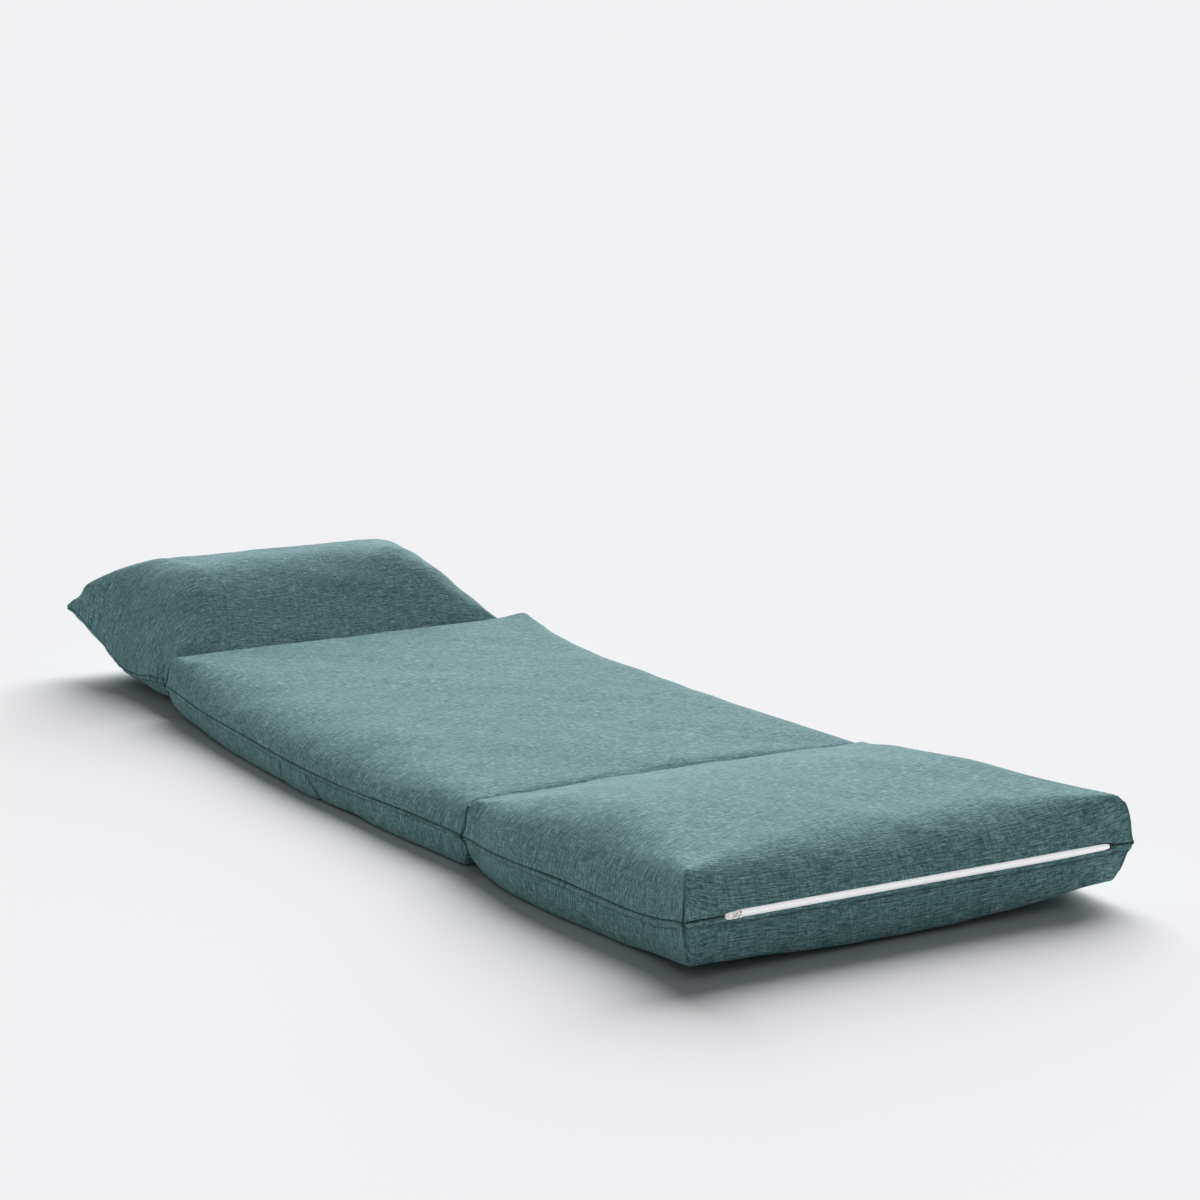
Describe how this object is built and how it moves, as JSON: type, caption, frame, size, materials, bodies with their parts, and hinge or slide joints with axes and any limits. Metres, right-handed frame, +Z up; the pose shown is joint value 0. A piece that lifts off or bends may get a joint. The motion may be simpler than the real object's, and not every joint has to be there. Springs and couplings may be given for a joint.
{
  "type": "chair bed",
  "caption": "Floor chair bed laid out flat: padded foot cushion, seat and reclining back on a hidden ratcheted frame, and a soft pillow, in teal woven cloth with a zipped foot end.",
  "frame": {"origin": "on the floor, under the middle of the bed laid out flat: the centre of the underside of its bounding box", "axes": "+X across the bed, +Y along it from the foot cushion towards the pillow, +Z up"},
  "size_m": [0.68, 2.005, 0.2113],
  "materials": {
    "cloth": "heathered plain weave, matt",
    "foam": "open-cell foam, matt",
    "fibre": "loose polyester fibre, matt",
    "webbing": "woven elastic strap, matt",
    "tube_steel": "powder coat, satin",
    "zinc_steel": "zinc plate, satin",
    "zipper": "off-white nylon coil and tape"
  },
  "bodies": {
    "seat": {"seat_cover_top": "cloth", "seat_cover_bottom": "cloth", "seat_foam": "foam", "seat_under_pad": "foam", "seat_frame_filler": "foam", "seat_frame_tube": "tube_steel", "seat_cross_tube": "tube_steel", "seat_strap_1": "webbing", "seat_strap_2": "webbing", "seat_strap_3": "webbing", "bend_cover_top": "cloth", "bend_gusset": "cloth", "bend_foam": "foam", "foot_hinge_strip": "cloth", "left_hinge_outer_plate": "zinc_steel", "left_hinge_inner_plate": "zinc_steel", "left_pawl_spring": "zinc_steel", "left_pivot_rivet": "zinc_steel", "left_pawl_rivet": "zinc_steel", "right_hinge_outer_plate": "zinc_steel", "right_hinge_inner_plate": "zinc_steel", "right_pawl_spring": "zinc_steel", "right_pivot_rivet": "zinc_steel", "right_pawl_rivet": "zinc_steel"},
    "back": {"back_cover_top": "cloth", "back_cover_bottom": "cloth", "back_foam": "foam", "back_under_pad": "foam", "back_frame_filler": "foam", "back_frame_tube": "tube_steel", "back_cross_tube": "tube_steel", "back_strap_1": "webbing", "back_strap_2": "webbing", "back_strap_3": "webbing", "left_ratchet_gear": "zinc_steel", "right_ratchet_gear": "zinc_steel"},
    "left_pawl": {"left_pawl": "zinc_steel"},
    "right_pawl": {"right_pawl": "zinc_steel"},
    "pillow": {"pillow_cover_top": "cloth", "pillow_cover_bottom": "cloth", "pillow_fill": "fibre", "pillow_neck_top": "cloth", "pillow_neck_bottom": "cloth"},
    "foot": {"foot_cover_top": "cloth", "foot_cover_bottom": "cloth", "foot_foam": "foam", "zipper_tape_upper": "zipper", "zipper_tape_lower": "zipper", "zipper_coil": "zipper", "zipper_stop_near": "zinc_steel", "zipper_stop_far": "zinc_steel"},
    "slider": {"zipper_slider": "zinc_steel", "zipper_bridge": "zinc_steel"},
    "pull": {"zipper_pull": "zinc_steel"}
  },
  "joints": [
    {"name": "back_recline", "type": "hinge", "parent": "seat", "child": "back", "pos_m": [0, 0.0675, 0.045], "axis": [1, 0, 0], "range_deg": [0, 90], "deforming": ["bend_cover_top", "bend_gusset", "bend_foam"]},
    {"name": "foot_fold", "type": "hinge", "parent": "seat", "child": "foot", "pos_m": [0, -0.4375, 0], "axis": [1, 0, 0], "range_deg": [0, 178], "deforming": ["foot_hinge_strip"]},
    {"name": "pillow_fold", "type": "hinge", "parent": "back", "child": "pillow", "pos_m": [0, 0.5875, 0.052], "axis": [1, 0, 0], "range_deg": [0, 90], "deforming": ["pillow_neck_top", "pillow_neck_bottom"]},
    {"name": "zipper_slide", "type": "slide", "parent": "foot", "child": "slider", "axis": [1, 0, 0], "range_m": [0, 0.568]},
    {"name": "pull_swing", "type": "hinge", "parent": "slider", "child": "pull", "pos_m": [-0.263, -1.0007, 0.08103], "axis": [0, 0, 1], "range_deg": [0, 175]},
    {"name": "left_pawl_swing", "type": "hinge", "parent": "seat", "child": "left_pawl", "pos_m": [-0.29, 0.04299, 0.05355], "axis": [1, 0, 0], "range_deg": [0, 10]},
    {"name": "right_pawl_swing", "type": "hinge", "parent": "seat", "child": "right_pawl", "pos_m": [0.29, 0.04299, 0.05355], "axis": [1, 0, 0], "range_deg": [0, 10]}
  ],
  "couplings": [
    {"joint": "right_pawl_swing", "follows": "left_pawl_swing", "ratio": 1}
  ]
}
